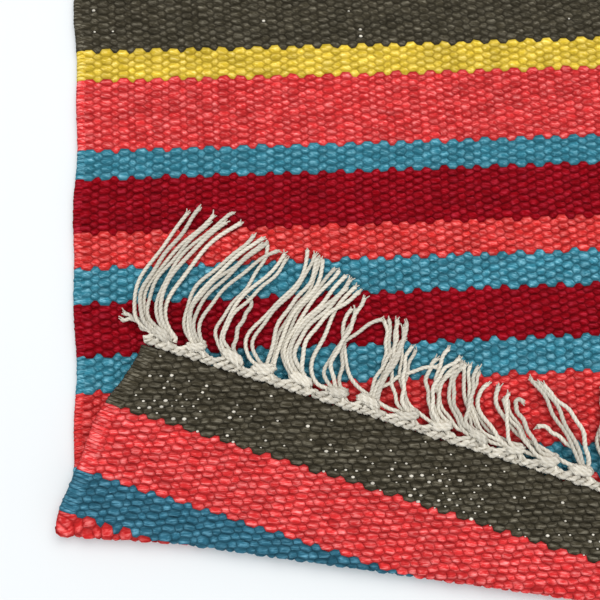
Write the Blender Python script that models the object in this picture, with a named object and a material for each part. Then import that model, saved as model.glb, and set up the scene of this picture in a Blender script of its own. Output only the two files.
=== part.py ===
"""A small flat-woven dhurrie rug with a knotted fringe at both ends, lying on a floor.

One end is turned back over the rug at a slant, so that a strip of the underside and its fringe
lie on top of the cloth. Metres, +Z up. X runs along the weft, Y along the warp towards the far
end, and the floor is at z = 0.
"""

import math

import bmesh
import bpy
from mathutils import Matrix, Vector

# The woven cloth, laid flat: u runs across it from the left selvedge, v up it from the near end.
WIDTH = 0.500
LENGTH = 0.700
CLOTH_THICK = 0.0036
SELVEDGE_STEP = 0.025
SELVEDGE_WAVES = (
    {"height": 0.0007, "length": 0.110},
    {"height": 0.0004, "length": 0.043},
)
LEFT_PHASE = 0.4  # of the selvedge waves, in radians
RIGHT_PHASE = 2.1
CORNER_STEP = 0.006
NEAR_CORNER = {"drawn_in": 0.0020, "reach": 0.045}
FAR_CORNER = {"drawn_in": 0.0030, "reach": 0.030}
# The left selvedge has spread at the end that is turned back: full width between two places.
SPREAD = {"out": 0.0058, "full_from": 0.038, "full_to": 0.065, "ends": 0.100}

# The turned-back end: a straight crease, a half-round bend, then a flap lying on the cloth.
CREASE_FROM_END = 0.0786  # at the left selvedge
CREASE_SLANT = math.radians(10.1)
BEND_RADIUS = 0.0025  # of the middle of the cloth
BEND_STEPS = 12
FULL_END = {"out": 0.0030, "along": 0.050, "from": -0.0010, "depth": 0.0053, "step": 0.010}
CUT_SNAP = 1e-7
FLAP_STEP = 0.013
FLAP_WAVE_STEP = 0.030
FLAP_LIFT = {"height": 0.0010, "reach": 0.045, "level": 0.55, "swing": 0.45}
FLAP_SWELL = {"length": 0.140, "phase": 0.8}

# The fringe: a row of knots along each end, with a bunch of warp ends hanging from every knot.
PIECE_GAP = 0.0004
KNOT_ROW = 0.0050
KNOT_ROW_STEPS = 4
BUNCHES = 35
BUNCH_THICK = 0.0020
BUNCH_ROOT = 0.0052
BUNCH_TIP = 0.0036
BUNCH_STEPS = 7
LAST_INWARD_TURN = math.radians(80)

# Bunches of the turned-back end, counted from the left selvedge. Angles are from the cloth's
# length, positive to the right: how a bunch sets off, where its tip lies, how its tip points.
FOLDED_BUNCHES = (
    {"sets_off": -50, "lies": 22, "tip_points": 42, "reach": 0.052},
    {"sets_off": -28, "lies": 30, "tip_points": 48, "reach": 0.050},
    {"sets_off": -38, "lies": 26, "tip_points": 30, "reach": 0.046},
    {"sets_off": -30, "lies": 24, "tip_points": 24, "reach": 0.048},
    {"sets_off": -34, "lies": 24, "tip_points": 36, "reach": 0.044},
    {"sets_off": -34, "lies": 20, "tip_points": 34, "reach": 0.039},
    {"sets_off": -26, "lies": 16, "tip_points": 24, "reach": 0.034},
    {"sets_off": -30, "lies": 6, "tip_points": 20, "reach": 0.032},
    {"sets_off": -34, "lies": 2, "tip_points": 20, "reach": 0.028},
    {"sets_off": -34, "lies": -4, "tip_points": 16, "reach": 0.028},
    {"sets_off": -36, "lies": -10, "tip_points": 8, "reach": 0.028},
    {"sets_off": -34, "lies": -16, "tip_points": -4, "reach": 0.030},
    {"sets_off": -24, "lies": -22, "tip_points": -20, "reach": 0.034},
)
LOOSE_BUNCH = {"sets_off": -12, "lies": 6, "tip_points": 20, "reach": 0.040}
FAR_BUNCH = {"sets_off": 0, "lies": 0, "tip_points": 0, "reach": 0.047}
BUNCH_SWAY = 9  # degrees
BUNCH_UNEVEN = 0.0035
UNEVEN_REACH_SHIFT = 5  # takes a bunch's reach from another bunch's sway than its angles
UNEVEN_ANGLE_SHIFT = 3

# Where the laid-flat corner u = 0, v = 0 sits, so that the whole rug is centred on the origin.
PLACE = Vector((-0.24745, -0.3536, 0))

STRIPE_RED = (0.620, 0.130, 0.120)
COTTON_CREAM = (0.760, 0.710, 0.600)


def clear_scene():
    for leftover in list(bpy.data.objects):
        bpy.data.objects.remove(leftover, do_unlink=True)


def fabric(name, colour, roughness):
    material = bpy.data.materials.new(name)
    material.use_nodes = True
    shader = material.node_tree.nodes["Principled BSDF"]
    shader.inputs["Base Color"].default_value = (*colour, 1.0)
    shader.inputs["Roughness"].default_value = roughness
    shader.inputs["Metallic"].default_value = 0.0
    return material


def ease(x):
    """0 to 1, level at both ends."""
    x = min(max(x, 0.0), 1.0)
    return x * x * (3 - 2 * x)


def selvedge(v, phase):
    """How far the selvedge runs inside the straight side at v: gentle waves and drawn-in corners."""
    inside = sum(
        wave["height"] * math.sin(2 * math.pi * v / wave["length"] + phase)
        for wave in SELVEDGE_WAVES
    )
    inside += NEAR_CORNER["drawn_in"] * max(0.0, 1 - v / NEAR_CORNER["reach"]) ** 2
    inside += FAR_CORNER["drawn_in"] * max(0.0, 1 - (LENGTH - v) / FAR_CORNER["reach"]) ** 2
    return inside


def left_edge(v):
    fading = SPREAD["ends"] - SPREAD["full_to"]
    spread = ease(v / SPREAD["full_from"]) * ease((SPREAD["ends"] - v) / fading)
    return selvedge(v, LEFT_PHASE) - SPREAD["out"] * spread


def right_edge(v):
    return WIDTH - selvedge(v, RIGHT_PHASE)


ALONG_CREASE = Vector((math.cos(CREASE_SLANT), -math.sin(CREASE_SLANT), 0))
PAST_CREASE = Vector((-math.sin(CREASE_SLANT), -math.cos(CREASE_SLANT), 0))
CREASE_START = Vector((0, CREASE_FROM_END, 0))
BEND_LENGTH = math.pi * BEND_RADIUS


def past_crease(u, v):
    return (Vector((u, v, 0)) - CREASE_START).dot(PAST_CREASE)


def turn(u, v):
    """The angle through which the cloth has turned at u, v."""
    return min(max(past_crease(u, v) / BEND_RADIUS, 0.0), math.pi)


def flap_lift(along, over):
    """The flap's rise off the cloth below, where it lies a little uneven."""
    wave = math.sin(2 * math.pi * along / FLAP_SWELL["length"] + FLAP_SWELL["phase"])
    swell = FLAP_LIFT["level"] + FLAP_LIFT["swing"] * wave
    return FLAP_LIFT["height"] * swell * ease(over / FLAP_LIFT["reach"])


def fuller(along, out):
    """A place past the crease's middle, moved out where the loop's left end is fuller."""
    depth = ease((out - FULL_END["from"]) / FULL_END["depth"])
    return out + FULL_END["out"] * ease(1 - along / FULL_END["along"]) * depth


def fold(u, v, w=0.0):
    """Where the laid-flat place u, v goes once the end is turned back, w off the cloth's middle."""
    along = (Vector((u, v, 0)) - CREASE_START).dot(ALONG_CREASE)
    past = past_crease(u, v)
    angle = turn(u, v)
    level = CLOTH_THICK / 2 + BEND_RADIUS * (1 - math.cos(angle))
    if past <= 0:
        out = past
    elif past < BEND_LENGTH:
        out = BEND_RADIUS * math.sin(angle)
    else:
        out = BEND_LENGTH - past
        level += flap_lift(along, past - BEND_LENGTH)
    out = fuller(along, out - w * math.sin(angle))
    flat = CREASE_START + ALONG_CREASE * along + PAST_CREASE * out
    return PLACE + Vector((flat.x, flat.y, level + w * math.cos(angle)))


def steps(start, end, step):
    count = max(1, round((end - start) / step))
    return [start + (end - start) * i / count for i in range(count + 1)]


def selvedge_stations():
    near = steps(0, SPREAD["ends"], CORNER_STEP)
    far = steps(LENGTH - FAR_CORNER["reach"], LENGTH, CORNER_STEP)
    return near + steps(near[-1], far[0], SELVEDGE_STEP)[1:-1] + far


def cut(sheet, faces, point, across):
    """Cuts these faces of a flat sheet along the line through point, square to across."""
    geometry = set(faces)
    for face in faces:
        geometry.update(face.edges)
        geometry.update(face.verts)
    bmesh.ops.bisect_plane(
        sheet, geom=list(geometry), dist=CUT_SNAP, plane_co=point, plane_no=across
    )


def faces_past(sheet, place):
    """The faces whose middles are further past the crease than this."""
    centres = {face: face.calc_center_median() for face in sheet.faces}
    return [face for face, c in centres.items() if past_crease(c.x, c.y) > place]


def laid_flat_cloth():
    """The cloth's outline as a flat sheet, cut along the lines where it bends."""
    sheet = bmesh.new()
    stations = selvedge_stations()
    outline = [(right_edge(v), v) for v in stations]
    outline += [(left_edge(v), v) for v in reversed(stations)]
    sheet.faces.new([sheet.verts.new((u, v, 0)) for u, v in outline])
    for i in range(BEND_STEPS + 1):
        at = CREASE_START + PAST_CREASE * (BEND_LENGTH * i / BEND_STEPS)
        cut(sheet, sheet.faces[:], at, PAST_CREASE)
    for past in steps(BEND_LENGTH, CREASE_FROM_END, FLAP_STEP)[1:-1]:
        flap = faces_past(sheet, BEND_LENGTH)
        cut(sheet, flap, CREASE_START + PAST_CREASE * past, PAST_CREASE)
    for along in steps(0, WIDTH, FLAP_WAVE_STEP)[1:]:
        flap = faces_past(sheet, BEND_LENGTH)
        cut(sheet, flap, CREASE_START + ALONG_CREASE * along, ALONG_CREASE)
    for along in steps(0, FULL_END["along"], FULL_END["step"]):
        bend = faces_past(sheet, 0)
        cut(sheet, bend, CREASE_START + ALONG_CREASE * along, ALONG_CREASE)
    bmesh.ops.triangulate(sheet, faces=sheet.faces[:])
    return sheet


def thickened(sheet):
    """Makes a flat sheet at z = 0 a slab of the cloth's thickness, with z = 0 in its middle."""
    lower = sheet.faces[:]
    grown = bmesh.ops.extrude_face_region(sheet, geom=lower, use_keep_orig=True)["geom"]
    upper = [item for item in grown if isinstance(item, bmesh.types.BMVert)]
    bmesh.ops.translate(sheet, verts=sheet.verts[:], vec=(0, 0, -CLOTH_THICK / 2))
    bmesh.ops.translate(sheet, verts=upper, vec=(0, 0, CLOTH_THICK))


def fold_all(slab):
    for corner in slab.verts:
        corner.co = fold(*corner.co)


def make_part(name, solid, material, collection):
    bmesh.ops.recalc_face_normals(solid, faces=solid.faces[:])
    mesh = bpy.data.meshes.new(name)
    solid.to_mesh(mesh)
    solid.free()
    mesh.materials.append(material)
    part = bpy.data.objects.new(name, mesh)
    collection.objects.link(part)
    return part


def rug_cloth(collection):
    """One length of cloth: flat, bent double at the slanting crease, and back over itself."""
    cloth = laid_flat_cloth()
    thickened(cloth)
    fold_all(cloth)
    return make_part("rug_cloth", cloth, fabric("weft_weave", STRIPE_RED, 0.9), collection)


def sway(number, scale):
    """An uneven but repeatable amount for a numbered bunch, between -scale and scale.

    The waves' lengths, in bunches, don't divide one another, so no two neighbours sway alike.
    """
    return scale * math.sin(2.4 * number + 0.7) * math.cos(0.9 * number)


def heading(direction, degrees):
    """A level direction turned clockwise by some degrees."""
    level = Vector((direction.x, direction.y, 0)).normalized()
    return Matrix.Rotation(-math.radians(degrees), 3, "Z") @ level


def bunch_route(root, setting_off, lengthwise, lie, rest_level):
    """Points along a bunch from its knot, easing down to the level that it rests at."""
    start = heading(lengthwise, lie["sets_off"]) * lie["reach"]
    end = heading(lengthwise, lie["tip_points"]) * lie["reach"]
    chord = heading(lengthwise, lie["lies"]) * lie["reach"]
    steepness = setting_off.z * lie["reach"]
    start *= math.hypot(setting_off.x, setting_off.y)
    route = []
    for i in range(BUNCH_STEPS + 1):
        x = i / BUNCH_STEPS
        level = Vector((root.x, root.y, 0)) + chord * ease(x)
        level += start * (x * (1 - x) ** 2) - end * (x * x * (1 - x))
        height = rest_level + (root.z - rest_level) * (1 - x) ** 5 * (1 + 5 * x)
        height = max(rest_level, height + steepness * x * (1 - x) ** 4)
        route.append(Vector((level.x, level.y, height)))
    return route


def add_bunch(comb, root_face, route):
    """Draws the bunch out of the knot row's side face, from station to station."""
    face = root_face
    sides = [loop.vert.co - face.calc_center_median() for loop in face.loops]
    for i in range(1, len(route)):
        way = (route[min(i + 1, len(route) - 1)] - route[i - 1]).normalized()
        across = Vector((-way.y, way.x, 0)).normalized()
        upright = way.cross(across)
        half_width = (BUNCH_ROOT + (BUNCH_TIP - BUNCH_ROOT) * i / BUNCH_STEPS) / 2
        drawn = bmesh.ops.extrude_discrete_faces(comb, faces=[face])["faces"]
        face = drawn[0]
        for j, loop in enumerate(face.loops):
            to_side = math.copysign(half_width, sides[j].dot(across))
            to_top = math.copysign(BUNCH_THICK / 2, sides[j].dot(upright))
            sides[j] = across * to_side + upright * to_top
            loop.vert.co = route[i] + sides[j]


def knot_row(start, end, middles, knot_v, tip_v):
    """The row of knots as a flat slab, ruled where the bunches leave it."""
    row = bmesh.new()
    crossings = [start]
    for middle in middles:
        crossings += [middle - BUNCH_ROOT / 2, middle + BUNCH_ROOT / 2]
    crossings.append(end)
    lines = []
    for i in range(KNOT_ROW_STEPS + 1):
        v = knot_v + (tip_v - knot_v) * i / KNOT_ROW_STEPS
        lines.append([row.verts.new((u, v, 0)) for u in crossings])
    for near, far in zip(lines, lines[1:]):
        for i in range(len(crossings) - 1):
            row.faces.new((near[i], near[i + 1], far[i + 1], far[i]))
    bmesh.ops.recalc_face_normals(row, faces=row.faces[:])
    thickened(row)
    return row


def root_faces(row, middles, tip_v):
    """The side faces of the flat knot row that the bunches leave, from left to right."""
    outer = [
        face for face in row.faces if all(abs(c.co.y - tip_v) < PIECE_GAP / 2 for c in face.verts)
    ]
    return [min(outer, key=lambda face: abs(face.calc_center_median().x - u)) for u in middles]


def fringe(name, collection, knot_v, tip_v, lie_of):
    """One comb: the row of knots beside the cloth's end, and the bunches that leave it."""
    end_v = min(max(knot_v, 0), LENGTH)
    start, end = left_edge(end_v), right_edge(end_v)
    middles = [start + (end - start) * (number + 0.5) / BUNCHES for number in range(BUNCHES)]
    comb = knot_row(start, end, middles, knot_v, tip_v)
    roots = root_faces(comb, middles, tip_v)
    fold_all(comb)
    for number, u in enumerate(middles):
        root = fold(u, tip_v)
        setting_off = (root - fold(u, tip_v + (knot_v - tip_v) / KNOT_ROW_STEPS)).normalized()
        lengthwise, lie, rest_level = lie_of(number, turn(u, tip_v))
        route = bunch_route(root, setting_off, lengthwise, lie, rest_level)
        add_bunch(comb, roots[number], route)
    return make_part(name, comb, fabric(name + "_cotton", COTTON_CREAM, 0.85), collection)


def folded_end_lie(number, turned):
    """How a bunch of the turned-back end lies: on the cloth, or on the floor past the crease."""
    if number < len(FOLDED_BUNCHES):
        lie = dict(FOLDED_BUNCHES[number])
    else:
        lie = dict(LOOSE_BUNCH)
        for angle in ("sets_off", "lies", "tip_points"):
            lie[angle] += sway(number, BUNCH_SWAY)
        lie["reach"] += sway(number + UNEVEN_REACH_SHIFT, BUNCH_UNEVEN)
    if turned > LAST_INWARD_TURN:
        return Vector((0, 1, 0)), lie, CLOTH_THICK + PIECE_GAP + BUNCH_THICK / 2
    for angle in ("sets_off", "lies", "tip_points"):
        lie[angle] = sway(number, BUNCH_SWAY)
    return Vector((0, -1, 0)), lie, BUNCH_THICK / 2


def far_end_lie(number, turned):
    lie = dict(FAR_BUNCH)
    for i, angle in enumerate(("sets_off", "lies", "tip_points")):
        lie[angle] += sway(number + UNEVEN_ANGLE_SHIFT * i, BUNCH_SWAY)
    lie["reach"] += sway(number + UNEVEN_REACH_SHIFT, BUNCH_UNEVEN)
    return Vector((0, 1, 0)), lie, BUNCH_THICK / 2


def main():
    clear_scene()
    rug = bpy.data.collections.new("dhurrie_rug")
    bpy.context.scene.collection.children.link(rug)
    rug_cloth(rug)
    near = -PIECE_GAP
    fringe("fringe_folded_end", rug, near, near - KNOT_ROW, folded_end_lie)
    far = LENGTH + PIECE_GAP
    fringe("fringe_far_end", rug, far, far + KNOT_ROW, far_end_lie)


main()
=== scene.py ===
"""The looks of a small striped dhurrie rug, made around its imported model.

The cloth is woven laid flat, float by float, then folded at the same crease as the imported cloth.
In the flat cloth u runs from the left selvedge to the right, v from the near end to the far one,
and w is the height over the cloth's middle. Metres, +Z up, floor at z = 0.
"""

import math

import bpy
import numpy as np
from mathutils import Matrix, Vector


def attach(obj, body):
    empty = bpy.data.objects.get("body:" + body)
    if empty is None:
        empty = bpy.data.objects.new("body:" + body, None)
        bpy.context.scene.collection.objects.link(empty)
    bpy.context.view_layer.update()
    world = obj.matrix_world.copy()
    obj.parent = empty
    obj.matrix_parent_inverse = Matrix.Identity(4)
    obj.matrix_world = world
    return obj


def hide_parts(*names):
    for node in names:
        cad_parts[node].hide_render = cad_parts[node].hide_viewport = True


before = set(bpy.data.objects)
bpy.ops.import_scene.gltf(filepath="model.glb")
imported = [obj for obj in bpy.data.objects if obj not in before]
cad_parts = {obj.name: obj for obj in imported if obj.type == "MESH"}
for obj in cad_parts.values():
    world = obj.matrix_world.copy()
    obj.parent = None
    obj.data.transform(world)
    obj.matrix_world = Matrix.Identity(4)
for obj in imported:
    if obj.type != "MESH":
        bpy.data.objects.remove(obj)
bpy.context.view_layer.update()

RANDOM = np.random.default_rng(20)

# The cloth and its crease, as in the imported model.
WIDTH = 0.500
LENGTH = 0.700
THICK = 0.0036
SELVEDGE_WAVES = ({"height": 0.0007, "length": 0.110}, {"height": 0.0004, "length": 0.043})
SELVEDGE_PHASES = {"left": 0.4, "right": 2.1}
NEAR_CORNER = {"drawn_in": 0.0020, "reach": 0.045}
FAR_CORNER = {"drawn_in": 0.0030, "reach": 0.030}
# The left selvedge's spread where the end is turned back, full between two places.
SPREAD = {"out": 0.0058, "full_from": 0.038, "full_to": 0.065, "ends": 0.100}
# The crease's left end is a fuller loop than the rest.
FULL_END = {"out": 0.0030, "along": 0.050, "from": -0.0010, "depth": 0.0053}
CREASE_FROM_END = 0.0786
CREASE_SLANT = math.radians(10.1)
BEND_RADIUS = 0.0025
BEND_LENGTH = math.pi * BEND_RADIUS
# The turned-back end lifts a little past its bend, in waves along the crease.
FLAP_LIFT = {"height": 0.0010, "reach": 0.045, "level": 0.55, "swing": 0.45}
FLAP_WAVE = {"length": 0.140, "phase": 0.8}
PLACE = np.array((-0.24745, -0.3536, 0.0))

# The weave. A float is one weft's pass over one warp.
WARPS = 137
CORD_WIDTH = 0.0046
WARP_PITCH = (WIDTH - 1.5 * CORD_WIDTH) / WARPS
# The selvedge rolls up, so is wider and thicker, at the end that is turned back.
ROLL = {"wider": 0.0034, "full_to": 0.070, "ends": 0.105, "thicker": 0.16, "thick_to": 0.074}
FIRST_WARP = (WIDTH - WARP_PITCH * (WARPS - 1)) / 2
FLOAT_LOW = 0.0007  # the dips' height over the cloth's middle
STRIPE_COLUMNS = ("yarn", "picks", "pick")
STRIPES = [
    dict(zip(STRIPE_COLUMNS, row))
    for row in (
        ("brown", 18, 0.00142),
        ("salmon", 18, 0.00148),
        ("deep_teal", 11, 0.00150),
        ("red", 11, 0.00168),
        ("teal", 6, 0.00175),
        ("red", 18, 0.00158),
        ("teal", 8, 0.00181),
        ("crimson", 14, 0.00150),
        ("teal", 8, 0.00181),
        ("coral", 9, 0.00159),
        ("crimson", 15, 0.00155),
        ("teal", 7, 0.00171),
        ("salmon", 20, 0.00155),
        ("yellow", 8, 0.00165),
        ("brown", 16, 0.00160),
        ("yellow", 8, 0.00165),
        ("salmon", 18, 0.00155),
        ("teal", 8, 0.00170),
    )
]
BAND_STRIPES = (5, 6, 7)  # stripes in each band of the near half, mirrored in the far half
# At each distance along the cloth, how far the picks bow at mid width.
BOW = (
    (0.0, -0.0005), (0.05, -0.0012), (0.068, -0.0042), (0.10, 0.0012), (0.18, -0.0008),
    (0.27, -0.0030), (0.36, -0.0015), (0.50, 0.0020), (0.62, 0.0010), (0.70, 0.0),
)
BOW_FADE = 0.02  # to nothing at each end

# The fringe. A lock is the strands of a bunch that lie together: where across the knot it leaves,
# how it sets off, where its tip lies and how its tip points, in degrees from the cloth's length,
# positive to the right.
BUNCHES = 35
KNOT_AT = 0.0056
STRAND = 0.00083  # radius
STRAND_CLEAR = 1.36 * STRAND  # middle of a strand, up off what it lies on
SET_OFF_PULL = 1.25
LOCK_COLUMNS = ("bunch", "from", "sets_off", "lies", "tip_points", "reach", "strands")
FOLDED_LOCKS = [
    dict(zip(LOCK_COLUMNS, row))
    for row in (
        (0, -0.0046, -66, -58, -68, 0.014, 2),
        (0, -0.0044, -68, 15, 30, 0.050, 1),
        (0, -0.0030, -56, 20, 34, 0.053, 1),
        (0, -0.0012, -54, 25, 50, 0.052, 2),
        (0, 0.0032, -46, 27, 50, 0.055, 2),
        (0, 0.0052, -46, 30, 55, 0.053, 1),
        (1, -0.0022, -36, 29, 38, 0.050, 1),
        (1, 0.0000, -30, 33, 50, 0.050, 3),
        (1, 0.0022, -16, 40, 64, 0.048, 1),
        (2, -0.0020, -54, 22, 4, 0.047, 1),
        (2, 0.0002, -46, 29, 25, 0.046, 2),
        (2, 0.0018, -20, 12, -20, 0.024, 1),
        (3, -0.0024, -66, 24, 4, 0.050, 1),
        (3, -0.0010, -50, 26, 8, 0.049, 1),
        (3, 0.0016, 12, 26, 18, 0.048, 3),
        (4, -0.0020, -48, 22, 30, 0.046, 2),
        (4, 0.0004, -40, 28, 46, 0.044, 3),
        (4, 0.0022, -26, 33, 50, 0.041, 1),
        (5, -0.0030, -80, 19, 50, 0.041, 1),
        (5, -0.0012, -52, 38, 70, 0.034, 1),
        (5, 0.0004, -20, 21, 30, 0.038, 1),
        (5, 0.0022, -10, 12, 4, 0.033, 1),
        (6, -0.0020, 56, 17, -20, 0.032, 2),
        (6, 0.0000, 30, 24, 15, 0.034, 3),
        (6, 0.0020, 18, 26, 12, 0.034, 1),
        (6, 0.0010, 16, 64, 72, 0.029, 1),
        (7, -0.0022, -82, -22, 42, 0.044, 1),
        (7, 0.0000, -50, 2, 30, 0.028, 1),
        (7, 0.0016, -30, 8, 20, 0.026, 2),
        (8, -0.0020, -78, -16, 25, 0.034, 1),
        (8, -0.0006, -52, 2, 22, 0.025, 1),
        (8, 0.0014, -52, 20, 52, 0.026, 3),
        (9, -0.0022, -76, -11, 30, 0.034, 1),
        (9, -0.0004, -74, -5, 25, 0.029, 2),
        (9, 0.0016, -60, 7, 30, 0.026, 2),
        (10, -0.0020, -82, -20, 20, 0.033, 2),
        (10, 0.0004, -78, -16, 60, 0.025, 1),
        (10, 0.0018, -60, 2, 30, 0.020, 1),
        (11, -0.0020, -74, -42, 2, 0.039, 1),
        (11, 0.0000, -50, -18, 120, 0.022, 1),
        (11, 0.0016, -70, -30, 10, 0.027, 2),
        (12, -0.0022, -62, -40, 24, 0.042, 1),
        (12, 0.0000, -15, -24, -36, 0.039, 2),
        (12, 0.0016, 5, -20, -34, 0.036, 1),
        (12, 0.0008, -20, -44, -108, 0.023, 1),
    )
]
LOOSE_BUNCH = {"sets_off": -30, "lies": 6, "tip_points": 24, "reach": 0.038}
FAR_BUNCH = {"sets_off": 0, "lies": 0, "tip_points": 0, "reach": 0.047}
# The locks of a bunch that no table places, as differences from its middle.
LOOSE_LOCKS = (
    {"from": -0.0022, "turned": -9, "reach": 0.94, "strands": 1},
    {"from": -0.0008, "turned": -3, "reach": 1.00, "strands": 2},
    {"from": 0.0010, "turned": 4, "reach": 0.96, "strands": 1},
    {"from": 0.0022, "turned": 11, "reach": 0.90, "strands": 1},
)
BUNCH_SWAY = 9
BUNCH_UNEVEN = 0.0035
LAST_INWARD_TURN = math.radians(80)

# Yarn colours, linear: the dye, the light fibres in it, and how strongly those show.
YARNS = {
    "brown": {"colour": (0.050, 0.042, 0.026), "light": (0.25, 0.225, 0.17), "uneven": 0.70},
    "salmon": {"colour": (0.68, 0.032, 0.033), "light": (1.0, 0.40, 0.38), "uneven": 0.70},
    "deep_teal": {"colour": (0.028, 0.125, 0.185), "light": (0.17, 0.40, 0.52), "uneven": 0.70},
    "red": {"colour": (0.60, 0.024, 0.024), "light": (0.98, 0.32, 0.30), "uneven": 0.60},
    "teal": {"colour": (0.034, 0.195, 0.265), "light": (0.30, 0.60, 0.70), "uneven": 0.70},
    "crimson": {"colour": (0.245, 0.0006, 0.0045), "light": (0.52, 0.040, 0.075), "uneven": 0.50},
    "coral": {"colour": (0.63, 0.027, 0.025), "light": (0.98, 0.32, 0.30), "uneven": 0.65},
    "yellow": {"colour": (0.74, 0.51, 0.040), "light": (1.0, 0.88, 0.40), "uneven": 0.60},
}
COTTON = (0.70, 0.65, 0.55)
# The painted shade in the groove between a strand's two plies.
COTTON_SHADE = (0.42, 0.37, 0.28)


# ---------------------------------------------------------------------------------------------
# The folded cloth's shape
# ---------------------------------------------------------------------------------------------

ALONG = np.array((math.cos(CREASE_SLANT), -math.sin(CREASE_SLANT)))
PAST = np.array((-math.sin(CREASE_SLANT), -math.cos(CREASE_SLANT)))
CREASE_START = np.array((0.0, CREASE_FROM_END))


def ease(x):
    """0 to 1, level at both ends."""
    x = np.clip(x, 0.0, 1.0)
    return x * x * (3 - 2 * x)


def selvedge(v, phase):
    """How far the selvedge runs inside the straight side at v."""
    inside = 0
    for wave in SELVEDGE_WAVES:
        inside = inside + wave["height"] * np.sin(2 * math.pi * v / wave["length"] + phase)
    for corner, from_end in ((NEAR_CORNER, v), (FAR_CORNER, LENGTH - v)):
        near = np.maximum(0, 1 - from_end / corner["reach"])
        inside = inside + corner["drawn_in"] * near**2
    return inside


def left_edge(v):
    fading = SPREAD["ends"] - SPREAD["full_to"]
    spread = ease(v / SPREAD["full_from"]) * ease((SPREAD["ends"] - v) / fading)
    return selvedge(v, SELVEDGE_PHASES["left"]) - SPREAD["out"] * spread


def right_edge(v):
    return WIDTH - selvedge(v, SELVEDGE_PHASES["right"])


def past_crease(flat):
    return (flat[:, :2] - CREASE_START) @ PAST


def turn(flat):
    """The angle through which the cloth has turned at each flat place."""
    return np.clip(past_crease(flat) / BEND_RADIUS, 0, math.pi)


def fuller(along, out):
    """Places past the crease's middle, moved out where the loop's left end is fuller."""
    depth = ease((out - FULL_END["from"]) / FULL_END["depth"])
    return out + FULL_END["out"] * ease(1 - along / FULL_END["along"]) * depth


def fold(flat):
    """Places of the flat cloth, as rows u, v, w, taken to where they are on the folded one."""
    flat = np.atleast_2d(np.asarray(flat, float))
    along = (flat[:, :2] - CREASE_START) @ ALONG
    past = past_crease(flat)
    angle = turn(flat)
    over = past - BEND_LENGTH
    out = np.where(past <= 0, past, np.where(over < 0, BEND_RADIUS * np.sin(angle), -over))
    level = THICK / 2 + BEND_RADIUS * (1 - np.cos(angle))
    wave = np.sin(2 * math.pi * along / FLAP_WAVE["length"] + FLAP_WAVE["phase"])
    swell = FLAP_LIFT["level"] + FLAP_LIFT["swing"] * wave
    level = level + FLAP_LIFT["height"] * swell * ease(over / FLAP_LIFT["reach"])
    out = fuller(along, out - flat[:, 2] * np.sin(angle))
    plan = CREASE_START + along[:, None] * ALONG + out[:, None] * PAST
    return np.column_stack((plan, level + flat[:, 2] * np.cos(angle))) + PLACE


def pull_to_selvedges(flat):
    """Draws the straight-sided cloth in to its uneven selvedges, and bows its picks."""
    u, v = flat[:, 0], np.clip(flat[:, 1], 0, LENGTH)
    bow = np.interp(v, [row[0] for row in BOW], [row[1] for row in BOW])
    moved = flat.copy()
    moved[:, 0] = left_edge(v) + u / WIDTH * (right_edge(v) - left_edge(v))
    fade = ease(v / BOW_FADE) * ease((LENGTH - v) / BOW_FADE)
    moved[:, 1] += bow * np.sin(math.pi * u / WIDTH) * fade
    return moved


ALL_STRIPES = STRIPES + STRIPES[::-1]
STRIPE_PICKS = np.cumsum([0] + [stripe["picks"] for stripe in ALL_STRIPES])
STRIPE_ENDS = np.cumsum([0] + [stripe["picks"] * stripe["pick"] for stripe in ALL_STRIPES])
STRIPE_ENDS = STRIPE_ENDS * LENGTH / STRIPE_ENDS[-1]
PICKS = int(STRIPE_PICKS[-1])
YARN_NAMES = list(YARNS)
YARN_OF_PICK = np.repeat(
    [YARN_NAMES.index(stripe["yarn"]) for stripe in ALL_STRIPES],
    [stripe["picks"] for stripe in ALL_STRIPES],
)


def flat_from_loom(loom):
    """Loom places, as rows u, pick number, w, to flat places: each stripe has its own pick."""
    picks = np.concatenate(([-2], STRIPE_PICKS, [PICKS + 2]))
    margin = 2 * STRIPES[0]["pick"]
    ends = np.concatenate(([-margin], STRIPE_ENDS, [LENGTH + margin]))
    return np.column_stack((loom[:, 0], np.interp(loom[:, 1], picks, ends), loom[:, 2]))


# ---------------------------------------------------------------------------------------------
# Geometry node trees
# ---------------------------------------------------------------------------------------------


def tree_with(name, inputs):
    """An empty geometry node tree with a geometry in and out and these named inputs."""
    tree = bpy.data.node_groups.new(name, "GeometryNodeTree")
    tree.is_modifier = True
    tree.interface.new_socket("Geometry", in_out="OUTPUT", socket_type="NodeSocketGeometry")
    tree.interface.new_socket("Geometry", in_out="INPUT", socket_type="NodeSocketGeometry")
    for label, kind in inputs:
        tree.interface.new_socket(label, in_out="INPUT", socket_type=kind)
    return tree, tree.nodes.new("NodeGroupInput"), tree.nodes.new("NodeGroupOutput")


def add_node(tree, kind, inputs=(), **settings):
    node = tree.nodes.new(kind)
    for key, value in settings.items():
        setattr(node, key, value)
    for socket, source in dict(inputs).items():
        if isinstance(source, bpy.types.NodeSocket):
            tree.links.new(source, node.inputs[socket])
        else:
            node.inputs[socket].default_value = source
    return node


def math_node(tree, operation, first, second=0.0, third=0.0):
    values = {0: first, 1: second, 2: third}
    return add_node(tree, "ShaderNodeMath", values, operation=operation).outputs[0]


def named(tree, name, kind):
    node = add_node(tree, "GeometryNodeInputNamedAttribute", {"Name": name}, data_type=kind)
    return next(out for out in node.outputs if out.enabled and out.name == "Attribute")


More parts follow.
